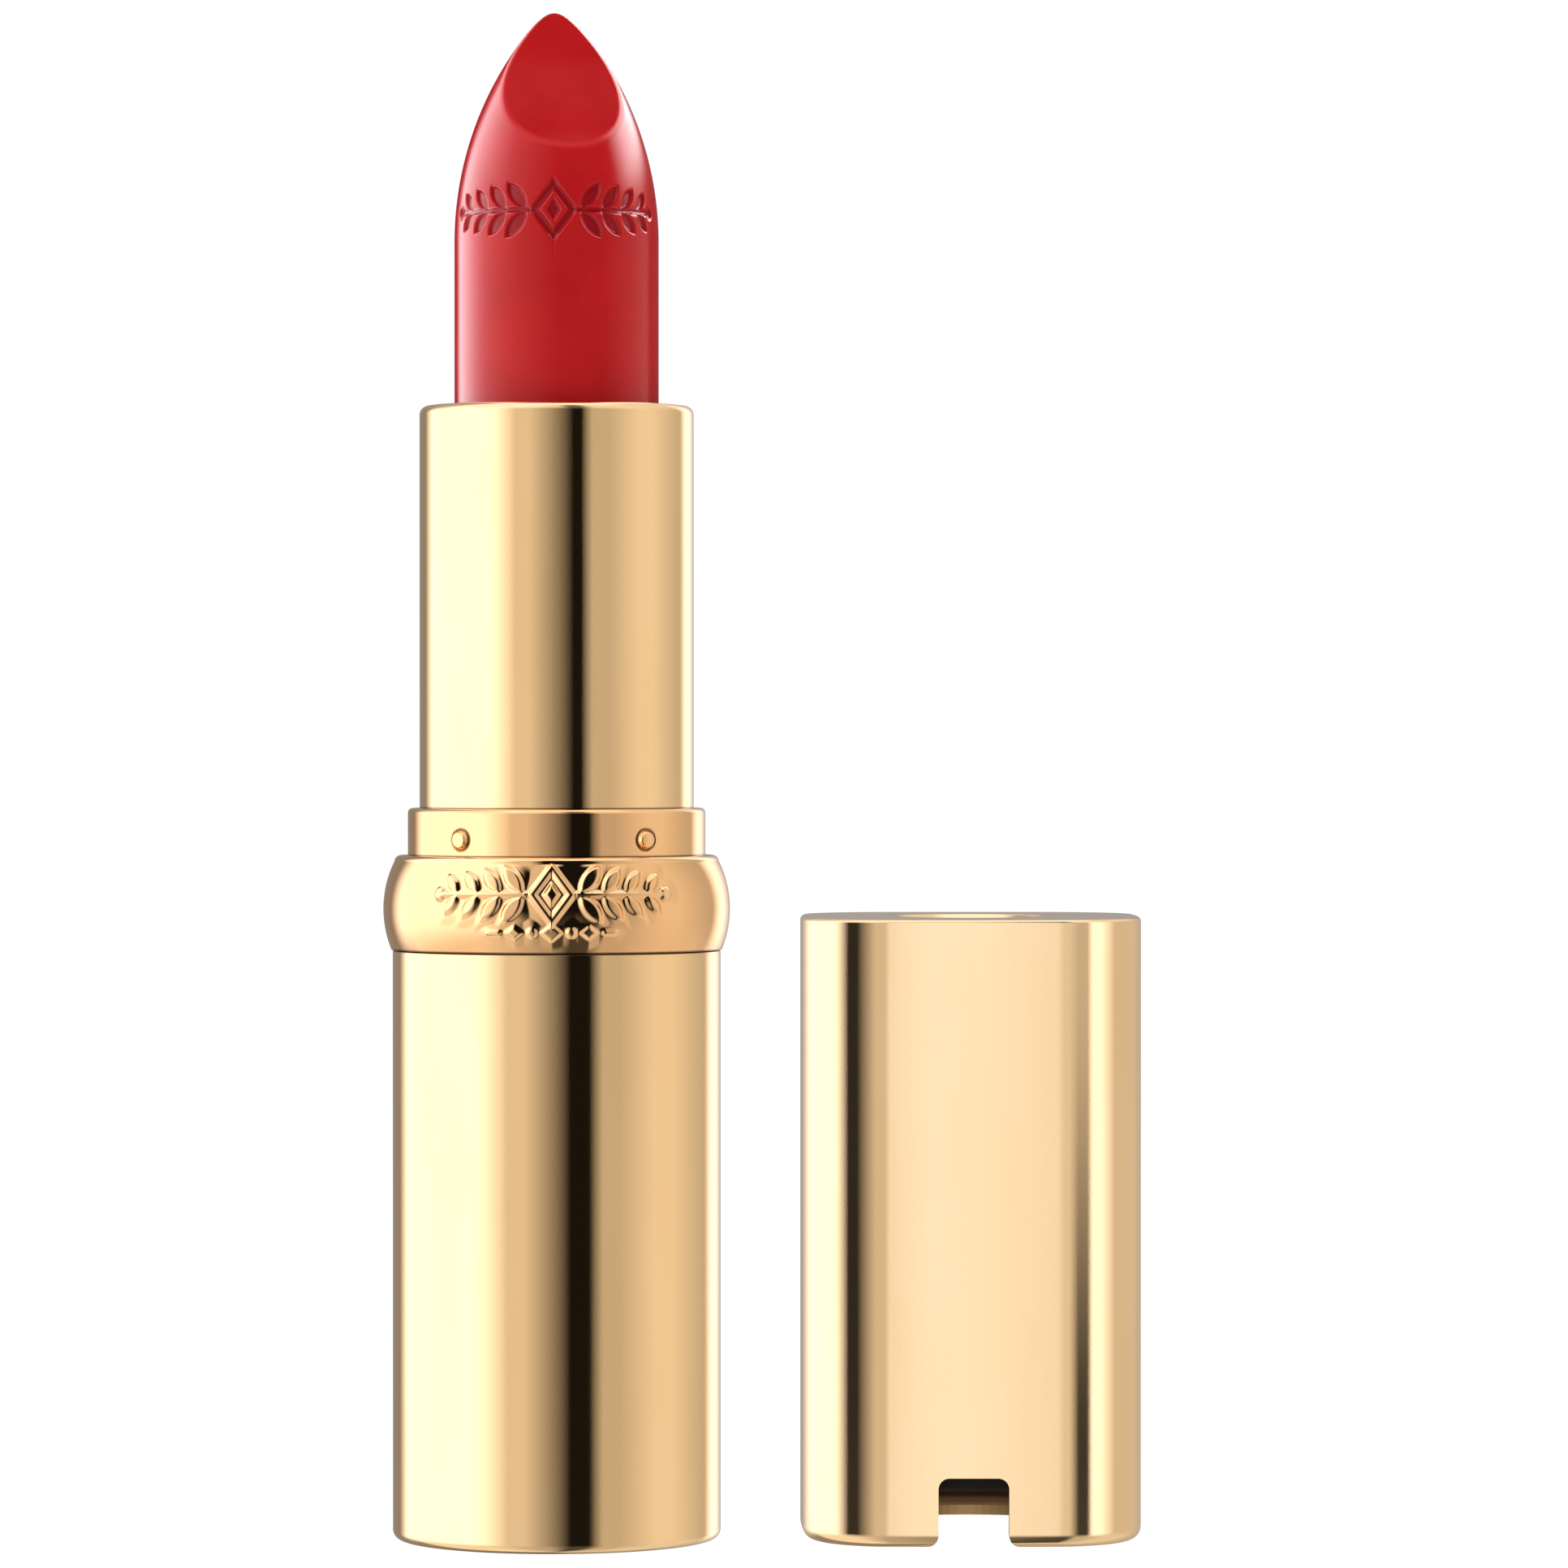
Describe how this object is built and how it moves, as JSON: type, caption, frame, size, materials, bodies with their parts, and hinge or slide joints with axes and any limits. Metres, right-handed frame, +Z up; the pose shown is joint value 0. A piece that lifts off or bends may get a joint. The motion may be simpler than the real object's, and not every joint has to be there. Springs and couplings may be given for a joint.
{
  "type": "lipstick case",
  "caption": "Twist-up lipstick in a round gold case, shown fully raised, with its rounded-square pull-off cap standing beside it.",
  "frame": {"origin": "centre of the base's underside, on the axis of the case", "axes": "+Z up along the case axis, -Y to the front that the slanted lipstick face and the cap's notch look to, +X towards the cap that stands beside the case"},
  "size_m": [0.045, 0.0245, 0.0904],
  "materials": {
    "gold_tube": "anodised, bright",
    "gold_base": "anodised, bright",
    "rose_gold_band": "anodised, bright",
    "cap_gold": "anodised, bright",
    "inner_plastic": "satin, gold tinted",
    "mechanism_plastic": "moulded",
    "steel_weight": "zinc plated",
    "silicone": "matt",
    "lipstick_red": "satin wax",
    "label_film": "printed film, blank"
  },
  "bodies": {
    "base": {"base_shell": "gold_base", "base_liner": "inner_plastic", "base_weight": "steel_weight", "shade_label": "label_film", "crown_band": "rose_gold_band", "band_core": "inner_plastic", "collar": "rose_gold_band", "collar_core": "inner_plastic", "guide_sleeve": "mechanism_plastic", "friction_ring_lower": "silicone", "friction_ring_upper": "silicone"},
    "tube": {"tube_shell": "gold_tube", "spiral_sleeve": "mechanism_plastic", "retaining_ring": "inner_plastic"},
    "carrier": {"carrier_cup": "mechanism_plastic", "lipstick_bullet": "lipstick_red"},
    "cap": {"cap_shell": "cap_gold", "cap_liner": "inner_plastic", "cap_weight": "steel_weight", "cap_bezel_ring": "cap_gold", "cap_disc": "cap_gold"}
  },
  "joints": [
    {"name": "tube_twist", "type": "hinge", "parent": "base", "child": "tube", "pos_m": [0, 0, 0], "axis": [0, 0, 1], "range_deg": [0, 563]},
    {"name": "bullet_lift", "type": "slide", "parent": "base", "child": "carrier", "axis": [0, 0, 1], "range_m": [-0.025, 0]},
    {"name": "cap_lift", "type": "slide", "parent": "base", "child": "cap", "axis": [0, 0, 1], "range_m": [0, 0.05]}
  ],
  "couplings": [
    {"joint": "tube_twist", "follows": "bullet_lift", "rad_per_m": -392.7}
  ]
}
